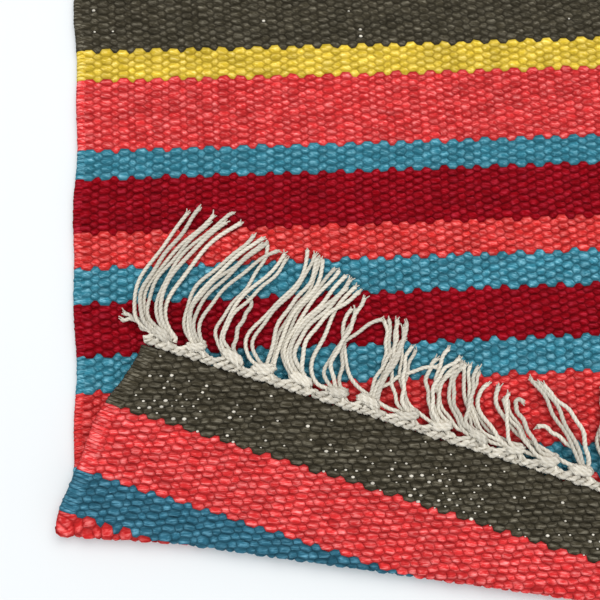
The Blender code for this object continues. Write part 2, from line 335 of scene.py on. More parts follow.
def make_set_on_points():
    """Sets a copy of the template on every point, turned and sized by the point, and welds them."""
    tree, given, result = tree_with(
        "set_on_points",
        (
            ("Template", "NodeSocketObject"),
            ("Weld Distance", "NodeSocketFloat"),
            ("Finish", "NodeSocketMaterial"),
        ),
    )
    template = add_node(tree, "GeometryNodeObjectInfo", {"Object": given.outputs["Template"]})
    turned = add_node(
        tree, "FunctionNodeEulerToRotation", {"Euler": named(tree, "turned", "FLOAT_VECTOR")}
    )
    placed = add_node(
        tree,
        "GeometryNodeInstanceOnPoints",
        {
            "Points": given.outputs["Geometry"],
            "Instance": template.outputs["Geometry"],
            "Rotation": turned.outputs["Rotation"],
            "Scale": named(tree, "sized", "FLOAT_VECTOR"),
        },
    )
    real = add_node(
        tree, "GeometryNodeRealizeInstances", {"Geometry": placed.outputs["Instances"]}
    )
    welded = add_node(
        tree,
        "GeometryNodeMergeByDistance",
        {"Geometry": real.outputs["Geometry"], "Distance": given.outputs["Weld Distance"]},
    )
    finished = add_node(
        tree,
        "GeometryNodeSetMaterial",
        {"Geometry": welded.outputs["Geometry"], "Material": given.outputs["Finish"]},
    )
    tree.links.new(finished.outputs["Geometry"], result.inputs["Geometry"])
    return tree


def make_plied_strand():
    """Draws a two-ply twisted strand along every curve, and keeps where each corner lies on it."""
    tree, given, result = tree_with(
        "plied_strand",
        (
            ("Strand Radius", "NodeSocketFloat"),
            ("Ply Depth", "NodeSocketFloat"),
            ("Twist Length", "NodeSocketFloat"),
            ("Step", "NodeSocketFloat"),
            ("Sides", "NodeSocketInt"),
            ("Finish", "NodeSocketMaterial"),
        ),
    )
    paths = add_node(
        tree,
        "GeometryNodeResampleCurve",
        {"Curve": given.outputs["Geometry"], "Length": given.outputs["Step"]},
        mode="LENGTH",
    )
    length = add_node(tree, "GeometryNodeSplineParameter").outputs["Length"]
    turns = math_node(tree, "DIVIDE", length, given.outputs["Twist Length"])
    tilt = math_node(tree, "MULTIPLY", turns, 2 * math.pi)
    tilted = add_node(
        tree, "GeometryNodeSetCurveTilt", {"Curve": paths.outputs["Curve"], "Tilt": tilt}
    )
    along = add_node(
        tree,
        "GeometryNodeStoreNamedAttribute",
        {"Geometry": tilted.outputs["Curve"], "Name": "along", "Value": length},
        data_type="FLOAT",
        domain="POINT",
    )
    ring = add_node(
        tree,
        "GeometryNodeCurvePrimitiveCircle",
        {"Resolution": given.outputs["Sides"], "Radius": given.outputs["Strand Radius"]},
        mode="RADIUS",
    )
    place = add_node(tree, "GeometryNodeInputPosition").outputs["Position"]
    parts = add_node(tree, "ShaderNodeSeparateXYZ", {0: place})
    angle = math_node(tree, "ARCTAN2", parts.outputs[1], parts.outputs[0])
    twice = math_node(tree, "MULTIPLY", angle, 2.0)
    lobes = math_node(tree, "COSINE", twice)
    between = math_node(tree, "SINE", twice)
    lobe = add_node(tree, "ShaderNodeCombineXYZ", {0: lobes, 1: between})
    ring_kept = add_node(
        tree,
        "GeometryNodeStoreNamedAttribute",
        {"Geometry": ring.outputs["Curve"], "Name": "lobe", "Value": lobe.outputs[0]},
        data_type="FLOAT_VECTOR",
        domain="POINT",
    )
    squeeze = math_node(tree, "MULTIPLY_ADD", lobes, given.outputs["Ply Depth"], 1.0)
    pulled = add_node(
        tree, "ShaderNodeVectorMath", {0: place, "Scale": squeeze}, operation="SCALE"
    )
    profile = add_node(
        tree,
        "GeometryNodeSetPosition",
        {"Geometry": ring_kept.outputs["Geometry"], "Position": pulled.outputs[0]},
    )
    tube = add_node(
        tree,
        "GeometryNodeCurveToMesh",
        {
            "Curve": along.outputs["Geometry"],
            "Profile Curve": profile.outputs["Geometry"],
            "Scale": add_node(tree, "GeometryNodeInputRadius").outputs["Radius"],
            "Fill Caps": True,
        },
    )
    real = add_node(tree, "GeometryNodeRealizeInstances", {"Geometry": tube.outputs["Mesh"]})
    finished = add_node(
        tree,
        "GeometryNodeSetMaterial",
        {"Geometry": real.outputs["Geometry"], "Material": given.outputs["Finish"]},
    )
    tree.links.new(finished.outputs["Geometry"], result.inputs["Geometry"])
    return tree


def worked(source, tree, settings, name):
    """Runs a node tree on an object and gives its result as a plain mesh object."""
    modifier = source.modifiers.new("work", "NODES")
    modifier.node_group = tree
    for item in tree.interface.items_tree:
        if item.item_type == "SOCKET" and item.in_out == "INPUT" and item.name in settings:
            modifier[item.identifier] = settings[item.name]
    source.update_tag()
    bpy.context.view_layer.update()
    graph = bpy.context.evaluated_depsgraph_get()
    mesh = bpy.data.meshes.new_from_object(
        source.evaluated_get(graph), preserve_all_data_layers=True, depsgraph=graph
    )
    source.modifiers.clear()
    mesh.name = name
    piece = bpy.data.objects.new(name, mesh)
    bpy.context.scene.collection.objects.link(piece)
    return piece


def discard(*objects):
    for item in objects:
        data = item.data
        bpy.data.objects.remove(item, do_unlink=True)
        if isinstance(data, bpy.types.Mesh):
            bpy.data.meshes.remove(data)
        elif isinstance(data, bpy.types.Curve):
            bpy.data.curves.remove(data)


def mesh_object(name, points, faces=()):
    mesh = bpy.data.meshes.new(name)
    mesh.from_pydata([tuple(p) for p in points], [], [tuple(f) for f in faces])
    piece = bpy.data.objects.new(name, mesh)
    bpy.context.scene.collection.objects.link(piece)
    return piece


def point_cloud(name, points, turned=None, sized=None):
    """Bare vertices that carry how the template on each is turned and sized."""
    cloud = mesh_object(name, points)
    count = len(points)
    turned = np.zeros((count, 3)) if turned is None else turned
    sized = np.ones((count, 3)) if sized is None else sized
    for label, values in (("turned", turned), ("sized", sized)):
        attribute = cloud.data.attributes.new(label, "FLOAT_VECTOR", "POINT")
        attribute.data.foreach_set("vector", np.asarray(values, np.float32).ravel())
    return cloud


def points_of(mesh):
    points = np.empty(len(mesh.vertices) * 3, np.float32)
    mesh.vertices.foreach_get("co", points)
    return points.reshape(-1, 3).astype(float)


def corners_of(mesh):
    corners = np.empty(len(mesh.loops), np.int32)
    mesh.loops.foreach_get("vertex_index", corners)
    return corners


def face_sizes(mesh):
    sizes = np.empty(len(mesh.polygons), np.int32)
    mesh.polygons.foreach_get("loop_total", sizes)
    return sizes


def extremes(owner, count, values):
    """The least and greatest value over the corners of each face, or of each edge."""
    least = np.full(count, np.inf)
    most = np.full(count, -np.inf)
    np.minimum.at(least, owner, values)
    np.maximum.at(most, owner, values)
    return least, most


def set_points(mesh, points):
    mesh.vertices.foreach_set("co", np.asarray(points, np.float32).ravel())
    mesh.update()


def keep_values(mesh, name, values, domain="POINT"):
    values = np.asarray(values, np.float32)
    kind, key = ("FLOAT_VECTOR", "vector") if values.ndim == 2 else ("FLOAT", "value")
    attribute = mesh.attributes.new(name, kind, domain)
    attribute.data.foreach_set(key, values.ravel())


def set_uv(mesh, corner_uv):
    layer = mesh.uv_layers.new(name="OFBake")
    layer.data.foreach_set("uv", np.asarray(corner_uv, np.float32).ravel())


SET_ON_POINTS = make_set_on_points()
PLIED_STRAND = make_plied_strand()


# ---------------------------------------------------------------------------------------------
# Materials
# ---------------------------------------------------------------------------------------------


def shader_group(name, inputs, outputs):
    group = bpy.data.node_groups.new(name, "ShaderNodeTree")
    for label, kind in outputs:
        group.interface.new_socket(label, in_out="OUTPUT", socket_type=kind)
    for label, kind in inputs:
        group.interface.new_socket(label, in_out="INPUT", socket_type=kind)
    return group, group.nodes.new("NodeGroupInput"), group.nodes.new("NodeGroupOutput")


def kept(tree, name, output="Fac"):
    """A value that the piece's mesh keeps under this name."""
    return add_node(tree, "ShaderNodeAttribute", attribute_name=name).outputs[output]


def remap(tree, value, low, high, to_low, to_high):
    node = add_node(
        tree,
        "ShaderNodeMapRange",
        {0: value, 1: low, 2: high, 3: to_low, 4: to_high},
    )
    return node.outputs[0]


def mixed(tree, amount, first, second, blend="MIX"):
    node = tree.nodes.new("ShaderNodeMix")
    node.data_type = "RGBA"
    node.blend_type = blend
    for index, source in ((0, amount), (6, first), (7, second)):
        if isinstance(source, bpy.types.NodeSocket):
            tree.links.new(source, node.inputs[index])
        else:
            node.inputs[index].default_value = source
    return node.outputs[2]


def stretched_noise(tree, place, scale, detail, roughness=0.55):
    """Noise on coordinates scaled apart along each axis."""
    scaled = add_node(
        tree, "ShaderNodeVectorMath", {0: place, 1: scale}, operation="MULTIPLY"
    )
    noise = add_node(
        tree,
        "ShaderNodeTexNoise",
        {
            "Vector": scaled.outputs[0],
            "Scale": 1.0,
            "Detail": detail,
            "Roughness": roughness,
        },
    )
    return noise.outputs["Fac"]


def make_woven_yarn():
    """Hand-spun weft: fibres and plies along the pick, uneven dye, painted shade in the dips and the low
    fibres, and light fibres showing most on the crests as a painted highlight.
    """
    group, given, result = shader_group(
        "woven_yarn",
        (
            ("Yarn", "NodeSocketColor"),
            ("Light Fibres", "NodeSocketColor"),
            ("Unevenness", "NodeSocketFloat"),
        ),
        (("Colour", "NodeSocketColor"), ("Relief", "NodeSocketFloat")),
    )
    flat = kept(group, "flat", "Vector")
    crown = kept(group, "crown")
    tone = kept(group, "tone")
    parts = add_node(group, "ShaderNodeSeparateXYZ", {0: flat})
    slant = math_node(group, "MULTIPLY_ADD", parts.outputs[0], 0.28, parts.outputs[1])
    slanted = add_node(
        group, "ShaderNodeCombineXYZ", {0: parts.outputs[0], 1: slant, 2: parts.outputs[2]}
    ).outputs[0]
    fibres = stretched_noise(group, slanted, (420.0, 2400.0, 1800.0), 3.0, 0.6)
    plies = stretched_noise(group, slanted, (230.0, 900.0, 700.0), 1.0, 0.4)
    drift = stretched_noise(group, flat, (14.0, 260.0, 0.0), 2.0)
    lightness = math_node(group, "MULTIPLY_ADD", fibres, 0.55, math_node(group, "MULTIPLY", plies, 0.45))
    light_share = remap(group, lightness, 0.46, 0.68, 0.0, 1.0)
    light_share = math_node(group, "MULTIPLY", light_share, given.outputs["Unevenness"])
    # Partly the yarn's own pale fibres, partly a painted highlight: they show most on the floats' crests.
    light_share = math_node(group, "MULTIPLY", light_share, remap(group, crown, 0.1, 0.9, 0.15, 1.0))
    colour = mixed(group, light_share, given.outputs["Yarn"], given.outputs["Light Fibres"])
    # Painted shade: darker where the fibre and ply relief is low.
    depth = remap(group, lightness, 0.30, 0.54, 0.66, 1.0)
    floats = math_node(group, "MULTIPLY_ADD", tone, 0.34, 0.83)
    dye = remap(group, drift, 0.3, 0.7, 0.88, 1.10)
    # Painted shade: each float darker from its crest down into the dips between floats.
    dip_shade = remap(group, crown, 0.0, 0.85, 0.55, 1.03)
    shade = math_node(group, "MULTIPLY", math_node(group, "MULTIPLY", depth, floats), dye)
    shade = math_node(group, "MULTIPLY", shade, dip_shade)
    shaded = mixed(group, 1.0, colour, combine_grey(group, shade), "MULTIPLY")
    group.links.new(shaded, result.inputs["Colour"])
    group.links.new(lightness, result.inputs["Relief"])
    return group


def combine_grey(tree, value):
    return add_node(tree, "ShaderNodeCombineXYZ", {0: value, 1: value, 2: value}).outputs[0]


def make_cotton_fibre():
    """Unbleached warp cotton: two plies wound round each other, with painted shade in the groove between
    them.
    """
    group, given, result = shader_group(
        "cotton_fibre",
        (
            ("Cotton", "NodeSocketColor"),
            ("Groove", "NodeSocketColor"),
            ("Marks", "NodeSocketFloat"),
            ("Fibre Scale", "NodeSocketFloat"),
        ),
        (("Colour", "NodeSocketColor"), ("Relief", "NodeSocketFloat")),
    )
    along = kept(group, "along")
    tone = kept(group, "tone")
    lobe = kept(group, "lobe", "Vector")
    wound = math_node(group, "MULTIPLY", along, given.outputs["Marks"])
    cosine = math_node(group, "COSINE", wound)
    sine = math_node(group, "SINE", wound)
    parts = add_node(group, "ShaderNodeSeparateXYZ", {0: lobe})
    first = math_node(group, "MULTIPLY", parts.outputs[0], cosine)
    plies = math_node(group, "MULTIPLY_ADD", parts.outputs[1], sine, first)
    groove = remap(group, plies, -0.95, 0.1, 1.0, 0.0)
    place = add_node(group, "ShaderNodeTexCoord").outputs["Object"]
    fine = add_node(
        group,
        "ShaderNodeTexNoise",
        {"Vector": place, "Scale": given.outputs["Fibre Scale"], "Detail": 3.0, "Roughness": 0.7},
    ).outputs["Fac"]
    broad = add_node(
        group, "ShaderNodeTexNoise", {"Vector": place, "Scale": 160.0, "Detail": 2.0}
    ).outputs["Fac"]
    # Painted shade: the groove between the plies takes the darker groove colour.
    colour = mixed(
        group, math_node(group, "MULTIPLY", groove, 0.6), given.outputs["Cotton"], given.outputs["Groove"]
    )
    shade = math_node(group, "MULTIPLY_ADD", tone, 0.30, 0.78)
    shade = math_node(group, "MULTIPLY", shade, remap(group, fine, 0.3, 0.7, 0.86, 1.08))
    shade = math_node(group, "MULTIPLY", shade, remap(group, broad, 0.3, 0.7, 0.92, 1.05))
    shaded = mixed(group, 1.0, colour, combine_grey(group, shade), "MULTIPLY")
    relief = math_node(group, "MULTIPLY_ADD", fine, 0.35, math_node(group, "SUBTRACT", 1.0, groove))
    group.links.new(shaded, result.inputs["Colour"])
    group.links.new(relief, result.inputs["Relief"])
    return group


def material_from(name, group, values, relief, roughness, sheen):
    material = bpy.data.materials.new(name)
    material.use_nodes = True
    tree = material.node_tree
    surface = tree.nodes["Principled BSDF"]
    pattern = tree.nodes.new("ShaderNodeGroup")
    pattern.node_tree = group
    for label, value in values.items():
        pattern.inputs[label].default_value = value
    bump = add_node(
        tree,
        "ShaderNodeBump",
        {"Strength": relief[0], "Distance": relief[1], "Height": pattern.outputs["Relief"]},
    )
    tree.links.new(pattern.outputs["Colour"], surface.inputs["Base Color"])
    tree.links.new(bump.outputs["Normal"], surface.inputs["Normal"])
    surface.inputs["Roughness"].default_value = roughness
    surface.inputs["Specular IOR Level"].default_value = 0.04
    surface.inputs["Sheen Weight"].default_value = sheen
    surface.inputs["Sheen Roughness"].default_value = 0.55
    return material


def yarn_materials():
    group = make_woven_yarn()
    made = []
    for name, yarn in YARNS.items():
        made.append(
            material_from(
                f"{name}_yarn",
                group,
                {
                    "Yarn": (*yarn["colour"], 1.0),
                    "Light Fibres": (*yarn["light"], 1.0),
                    "Unevenness": yarn["uneven"],
                },
                relief=(0.55, 0.0005),
                roughness=0.85,
                sheen=0.01,
            )
        )
    return made


def cotton_material(name, group, marks, fibre_scale):
    values = {
        "Cotton": (*COTTON, 1.0),
        "Groove": (*COTTON_SHADE, 1.0),
        "Marks": marks,
        "Fibre Scale": fibre_scale,
    }
    return material_from(name, group, values, relief=(0.6, 0.0004), roughness=0.88, sheen=0.04)


# ---------------------------------------------------------------------------------------------
# The woven cloth
# ---------------------------------------------------------------------------------------------

CREST = THICK / 2
WELD = 1e-4
TENTH = WARP_PITCH / 10  # the tiles' corners all lie on tenths of the warp pitch
DIVE = 3  # tenths from a float's middle to where it meets the next float over the same warp


def float_template(name, crest, ring=()):
    """One float's six-sided tile, in metres across and picks along, arched up to its crest."""
    side = DIVE * TENTH
    tip = (10 - DIVE) * TENTH
    rim = [(side, 1), (-side, 1), (-tip, 0), (-side, -1), (side, -1), (tip, 0)]
    points = [(x, y, FLOAT_LOW) for x, y in rim]
    if ring:
        across, along, height = ring
        points += [(x, y, height) for x, y in (
            (across, along), (-across, along), (-across, -along), (across, -along),
        )]
        points += [(-crest, 0, CREST), (crest, 0, CREST)]
        faces = [
            (0, 1, 7, 6), (3, 4, 9, 8), (7, 10, 11, 6), (8, 9, 11, 10),
            (1, 2, 7), (2, 10, 7), (2, 8, 10), (2, 3, 8),
            (4, 5, 9), (5, 11, 9), (5, 6, 11), (5, 0, 6),
        ]
    elif crest:
        points += [(-crest, 0, CREST), (crest, 0, CREST)]
        faces = [(0, 1, 6, 7), (3, 4, 7, 6), (1, 2, 6), (2, 3, 6), (4, 5, 7), (5, 0, 7)]
    else:
        points.append((0, 0, CREST))
        faces = [(corner, (corner + 1) % 6, 6) for corner in range(6)]
    return mesh_object(name, points, faces), len(faces)


def hashed(keys, seed):
    """Even random numbers, -1 to 1, that depend only on the whole-number keys."""
    mixed_keys = keys[:, 0].astype(np.uint64) * np.uint64(73856093)
    mixed_keys ^= keys[:, 1].astype(np.uint64) * np.uint64(19349663)
    mixed_keys += np.uint64(seed) * np.uint64(83492791)
    mixed_keys ^= mixed_keys >> np.uint64(13)
    mixed_keys *= np.uint64(1274126177)
    mixed_keys &= np.uint64(0xFFFFFFFF)
    mixed_keys ^= mixed_keys >> np.uint64(16)
    return (mixed_keys % np.uint64(20011)).astype(float) / 10005 - 1


# How far a float's rim and its crest wander, and how its crest leans and sinks.
RIM_WANDER = {"across": 0.00018, "picks": 0.15, "height": 0.00012}
CREST_WANDER = {"across": 0.00022, "picks": 0.16}
CREST_LEAN = 0.22  # picks
CREST_SINK = 0.09
# The floats over every second warp are narrower and lower, most of all near the left selvedge.
RIDGES = {"narrower": 0.14, "lower": 0.09}  # of the warp pitch, of the height
RIDGE_STRENGTH = ((0.0, 1.0), (0.05, 1.0), (0.14, 0.45), (WIDTH, 0.45))
# Slow drifts of the warps, in metres, and of the picks, in picks, that neighbours share.
DRIFT_FADE = {"across": 0.02, "picks": 4}
WARP_DRIFTS = ((0.0005, 61, 0.5), (0.0003, 173, 0.0))  # how far, radians in a metre, phase
PICK_DRIFTS = ((0.13, 0.0117, 19), (0.15, 0.0231, -13))  # how far, wave across, wave in picks


def loosened(loom, rim, bead, lean, seed):
    """Takes the machine look off: rim corners wander by place, crests by float.

    Each float leans with the twist of its yarn, so one end of its crest is further up the cloth.
    """
    keys = np.column_stack((
        np.round((loom[:, 0] - FIRST_WARP) / TENTH) + 20,
        np.round(loom[:, 1] * 2) + 8,
    ))
    loose = loom.copy()
    for axis, reach in enumerate(RIM_WANDER.values()):
        loose[rim, axis] += reach * hashed(keys[rim], axis + 1)
    crest = ~rim
    float_keys = np.column_stack((bead[crest] + 5, np.full(crest.sum(), seed)))
    loose[crest, 1] += CREST_LEAN * np.sign(loom[crest, 2]) * lean[crest]
    loose[crest, 0] += CREST_WANDER["across"] * hashed(float_keys, 4)
    loose[crest, 1] += CREST_WANDER["picks"] * hashed(float_keys, 5)
    loose[crest, 2] *= 1 - CREST_SINK * (1 + hashed(float_keys, 6))
    ridge = math.pi * (loom[:, 0] - FIRST_WARP) / WARP_PITCH
    strength = np.interp(loom[:, 0], *zip(*RIDGE_STRENGTH))
    loose[:, 0] += RIDGES["narrower"] * WARP_PITCH * strength * np.sin(ridge)
    loose[:, 2] *= 1 - RIDGES["lower"] * strength * (1 - np.cos(ridge))
    return drifted(loom, loose)


def drifted(loom, loose):
    """Lets the warps and the picks wander a little, alike for all that lies at one place."""
    across = loom[:, 0]
    inside = ease(across / DRIFT_FADE["across"]) * ease((WIDTH - across) / DRIFT_FADE["across"])
    picks = loom[:, 1]
    within = ease(picks / DRIFT_FADE["picks"]) * ease((PICKS - picks) / DRIFT_FADE["picks"])
    loose = loose.copy()
    loose[:, 0] += inside * sum(far * np.sin(across * rate + phase)
                                for far, rate, phase in WARP_DRIFTS)
    turns = 2 * math.pi * across
    rows = 2 * math.pi * picks
    wander = sum(far * np.sin(turns / wide + rows / high) for far, wide, high in PICK_DRIFTS)
    loose[:, 1] += wander * within * inside
    return loose


def open_rim(faces):
    """The one open edge of a skin, as vertices in order, with its faces to the left."""
    ways = {}
    for face in faces:
        for here, there in zip(face, face[1:] + face[:1]):
            ways[(here, there)] = True
    after = {here: there for here, there in ways if (there, here) not in ways}
    start = min(after)
    rim = [start]
    while after[rim[-1]] != start:
        rim.append(after[rim[-1]])
    return rim


def zipped(points, upper, lower):
    """Triangles that close the gap between two rims that run the same way round."""
    scale = np.array((1.0, 0.0017, 0.0))
    flat = points * scale
    start = int(np.argmin(((flat[lower] - flat[upper[0]]) ** 2).sum(axis=1)))
    lower = lower[start:] + lower[:start]
    faces, charts = [], []
    here, there = 0, 0
    while here < len(upper) or there < len(lower):
        top, low = upper[here % len(upper)], lower[there % len(lower)]
        next_top, next_low = upper[(here + 1) % len(upper)], lower[(there + 1) % len(lower)]
        by_top = np.hypot(*(flat[next_top] - flat[low])[:2])
        by_low = np.hypot(*(flat[next_low] - flat[top])[:2])
        at_top = (here / len(upper), 0.506)
        at_low = (there / len(lower), 0.494)
        go_top = there >= len(lower) or (here < len(upper) and by_top <= by_low)
        if go_top:
            faces.append((top, low, next_top))
            charts.append((at_top, at_low, ((here + 1) / len(upper), 0.506)))
            here += 1
        else:
            faces.append((top, low, next_low))
            charts.append((at_top, at_low, ((there + 1) / len(lower), 0.494)))
            there += 1
    return faces, charts


def float_skin(side, picks, template, count, material):
    """One face of a band: a float wherever the weft lies on this side, and each face's float."""
    spots = np.array([
        (warp, pick)
        for pick in range(*picks)
        for warp in range(WARPS)
        if (warp + pick) % 2 == (side < 0)
    ])
    centres = np.column_stack((
        FIRST_WARP + WARP_PITCH * spots[:, 0], spots[:, 1] - picks[0] + 0.5, np.zeros(len(spots))
    ))
    turned = np.zeros((len(spots), 3))
    turned[:, 0] = 0 if side > 0 else math.pi
    cloud = point_cloud("float_places", centres, turned)
    settings = {"Template": template, "Weld Distance": WELD, "Finish": material}
    skin = worked(cloud, SET_ON_POINTS, settings, "skin")
    loom = points_of(skin.data) + (0.0, picks[0], 0.0)
    faces = [tuple(face.vertices) for face in skin.data.polygons]
    floats = np.arange(len(faces)) // count
    bead = np.zeros(len(loom), int)
    for face, number in zip(faces, floats):
        bead[list(face)] = number
    discard(cloud, skin)
    rim = np.abs(loom[:, 2]) < FLOAT_LOW * 1.01
    seed = 11 if side > 0 else 12
    first = picks[0] * WARPS
    lean = np.clip((loom[:, 0] - centres[bead, 0]) / (0.28 * WARP_PITCH), -1, 1)
    loose = loosened(loom, rim, bead + first, lean, seed)
    # How high each point stands between dip and crest; the yarn finish turns it into painted shade in the
    # dips and a painted highlight on the crests.
    crown = np.clip((np.abs(loom[:, 2]) - FLOAT_LOW) / (CREST - FLOAT_LOW), 0, 1)
    tone = hashed(np.column_stack((np.arange(len(spots)) + first, np.full(len(spots), seed))), 7)
    return {
        "points": loose, "loom": loom, "faces": faces, "floats": floats,
        "picks": spots[:, 1], "crown": crown, "tone": 0.5 + 0.5 * tone,
    }


def weave_band(name, picks, upper, under, materials):
    """Both faces of a stretch of cloth, closed round the edge, then folded into place."""
    top = float_skin(1, picks, *upper, materials[0])
    low = float_skin(-1, picks, *under, materials[0])
    shift = len(top["points"])
    low_faces = [tuple(corner + shift for corner in face) for face in low["faces"]]
    loom = np.vstack((top["loom"], low["loom"]))
    points = np.vstack((top["points"], low["points"]))
    top_rim = open_rim(top["faces"])
    low_rim = open_rim(low_faces)[::-1]
    wall, wall_charts = zipped(loom, top_rim, low_rim)

    faces = top["faces"] + low_faces + wall
    top_count = len(top["faces"])
    skin_count = top_count + len(low_faces)
    pick_of_face = np.concatenate((
        top["picks"][top["floats"]],
        low["picks"][low["floats"]],
        [min(max(int(loom[list(face), 1].mean()), picks[0]), picks[1] - 1) for face in wall],
    ))
    float_of_face = np.concatenate((
        top["floats"], low["floats"] + len(top["picks"]), np.full(len(wall), -1)
    ))
    tone = np.concatenate((
        top["tone"][top["floats"]], low["tone"][low["floats"]], np.full(len(wall), 0.3)
    ))

    flat = pull_to_selvedges(flat_from_loom(points))
    flat[:, 2] = np.clip(flat[:, 2], -CREST, CREST)
    piece = mesh_object(name, fold(flat), faces)
    mesh = piece.data
    mesh.shade_smooth()
    for material in materials:
        mesh.materials.append(material)
    mesh.polygons.foreach_set("material_index", YARN_OF_PICK[pick_of_face].astype(np.int32))
    keep_values(mesh, "flat", flat)
    keep_values(mesh, "crown", np.concatenate((top["crown"], low["crown"])))
    keep_values(mesh, "tone", tone, "FACE")
    mark_sharp_between(mesh, float_of_face)

    corners = corners_of(mesh)
    sizes = np.array([len(face) for face in faces])
    side = np.repeat(np.arange(len(faces)), sizes)
    across = (loom[corners, 0]) / WIDTH
    along = (loom[corners, 1] - picks[0] + 1) / (picks[1] - picks[0] + 2)
    charts = np.column_stack((
        0.005 + 0.99 * across,
        np.where(side < top_count, 0.51 + 0.485 * along, 0.005 + 0.485 * along),
    ))
    charts[side >= skin_count] = np.array(wall_charts).reshape(-1, 2)
    set_uv(mesh, charts)
    return piece


def mark_sharp_between(mesh, group_of_face):
    """Sharpens every edge between faces of different groups."""
    edges = np.empty(len(mesh.loops), np.int32)
    mesh.loops.foreach_get("edge_index", edges)
    group = np.repeat(group_of_face, face_sizes(mesh))
    least, most = extremes(edges, len(mesh.edges), group)
    sharp = mesh.attributes.new("sharp_edge", "BOOLEAN", "EDGE")
    sharp.data.foreach_set("value", least != most)


RIBS = PICKS
RIB_SIDES = 10
RIB_WANDER = 0.26  # of a rib, along the cord
RIB_BEND = 0.25
CORD_SLANT = 0.12
RIB_RINGS = ((0.0, 0.80), (0.24, 0.96), (0.5, 1.0), (0.76, 0.96), (1.0, 0.80))  # along, size
RIBS_PER_CHART = 64


def rib_template():
    """One turn of weft round the edge cord, from groove to groove."""
    points, faces = [], []
    for along, size in RIB_RINGS:
        for number in range(RIB_SIDES):
            angle = 2 * math.pi * number / RIB_SIDES
            wide = CORD_WIDTH / 2 * math.cos(angle) * (0.5 + 0.5 * size)
            points.append((wide, along, THICK / 2 * math.sin(angle) * size))
    for ring in range(0, RIB_SIDES * (len(RIB_RINGS) - 1), RIB_SIDES):
        for number in range(RIB_SIDES):
            after = (number + 1) % RIB_SIDES
            faces.append((ring + number, ring + RIB_SIDES + number,
                          ring + RIB_SIDES + after, ring + after))
    return mesh_object("rib", points, faces), len(faces)


def selvedge_cord(name, middle, is_left, template, count, materials):
    """The thick ribbed edge that the turning wefts make."""
    places = np.column_stack((np.zeros(RIBS), np.arange(RIBS), np.zeros(RIBS)))
    cloud = point_cloud("rib_places", places)
    settings = {"Template": template, "Weld Distance": WELD, "Finish": materials[0]}
    tube = worked(cloud, SET_ON_POINTS, settings, "tube")
    local = points_of(tube.data)
    faces = [tuple(face.vertices) for face in tube.data.polygons]
    discard(cloud, tube)
    rib = np.arange(len(faces)) // count
    for level in (0, RIBS):
        ring = [int(number) for number in np.flatnonzero(np.abs(local[:, 1] - level) < 0.01)]
        ring.sort(key=lambda number: math.atan2(local[number, 2], local[number, 0]))
        faces.append(tuple(ring if level == 0 else ring[::-1]))
    rib = np.concatenate((rib, (0, RIBS - 1)))

    groove = np.abs(local[:, 1] - np.round(local[:, 1])) < 0.1
    keys = np.column_stack((np.round(local[:, 1] * 2 - 0.5 * ~groove) + 3, np.zeros(len(local))))
    crest = ~groove
    turn_keys = np.column_stack((np.floor(local[:, 1] + 0.01 * crest) + 3, np.ones(len(local))))
    swell = np.where(crest, 1 - 0.06 * (1 + hashed(turn_keys, 23)), 1 + 0.05 * hashed(keys, 21))
    swell = np.minimum(swell, 1.0)
    wander = RIB_WANDER * hashed(turn_keys, 22 if is_left else 25) * groove
    inside = (local[:, 1] > 0.5) & (local[:, 1] < RIBS - 0.5)
    ribs_along = (local[:, 1] + wander * inside) / RIBS * PICKS
    v = flat_from_loom(np.column_stack((local[:, 0], ribs_along, local[:, 2])))[:, 1]
    if is_left:
        wider = ROLL["wider"] * ease((ROLL["ends"] - v) / (ROLL["ends"] - ROLL["full_to"]))
        thicker = 1 + ROLL["thicker"] * ease((ROLL["thick_to"] - v) / 0.012)
    else:
        wider, thicker = np.zeros(len(v)), np.ones(len(v))
    stretch = (CORD_WIDTH + wider) / CORD_WIDTH
    loom = np.column_stack((
        middle + wider / 2 + local[:, 0] * swell * stretch,
        ribs_along,
        local[:, 2] * swell * thicker,
    ))
    flat = flat_from_loom(loom)
    ends = ease(flat[:, 1] / 0.004) * ease((LENGTH - flat[:, 1]) / 0.004)
    bend = RIB_BEND * hashed(turn_keys, 26) * groove
    slant = CORD_SLANT if is_left else -CORD_SLANT
    flat[:, 1] += (slant + bend) * local[:, 0] * ends
    flat = pull_to_selvedges(flat)
    piece = mesh_object(name, fold(flat), faces)
    mesh = piece.data
    mesh.shade_smooth()
    for material in materials:
        mesh.materials.append(material)
    picks = np.clip(((rib + 0.5) / RIBS * PICKS).astype(int), 0, PICKS - 1)
    mesh.polygons.foreach_set("material_index", YARN_OF_PICK[picks].astype(np.int32))
    keep_values(mesh, "flat", flat)
    # Painted shade: each rib darker towards the cord's sides, and darkest in the grooves between ribs.
    sides = np.abs(local[:, 0]) / (CORD_WIDTH / 2)
    keep_values(mesh, "crown", np.where(crest, 1.0 - 0.65 * sides**3, 0.12))
    tone = hashed(np.column_stack((rib + 3, np.full(len(rib), 4))), 24)
    keep_values(mesh, "tone", 0.5 + 0.5 * tone, "FACE")
    mark_sharp_between(mesh, rib)

    corners = corners_of(mesh)
    sizes = np.array([len(face) for face in faces])
    face_of = np.repeat(np.arange(len(faces)), sizes)
    angle = np.arctan2(local[corners, 2], local[corners, 0]) / (2 * math.pi) % 1.0
    least, most = extremes(face_of, len(faces), angle)
    seam = (most - least)[face_of] > 0.5
    angle = np.where(seam & (angle < 0.5), angle + 1, angle)
    charts = math.ceil(RIBS / RIBS_PER_CHART)
    chart = rib[face_of] // RIBS_PER_CHART
    along = (local[corners, 1] - chart * RIBS_PER_CHART) / RIBS_PER_CHART
    set_uv(mesh, np.column_stack(((chart + 0.03 + 0.94 * angle) / charts, 0.01 + 0.97 * along)))
    return piece


# ---------------------------------------------------------------------------------------------
# The fringe
# ---------------------------------------------------------------------------------------------

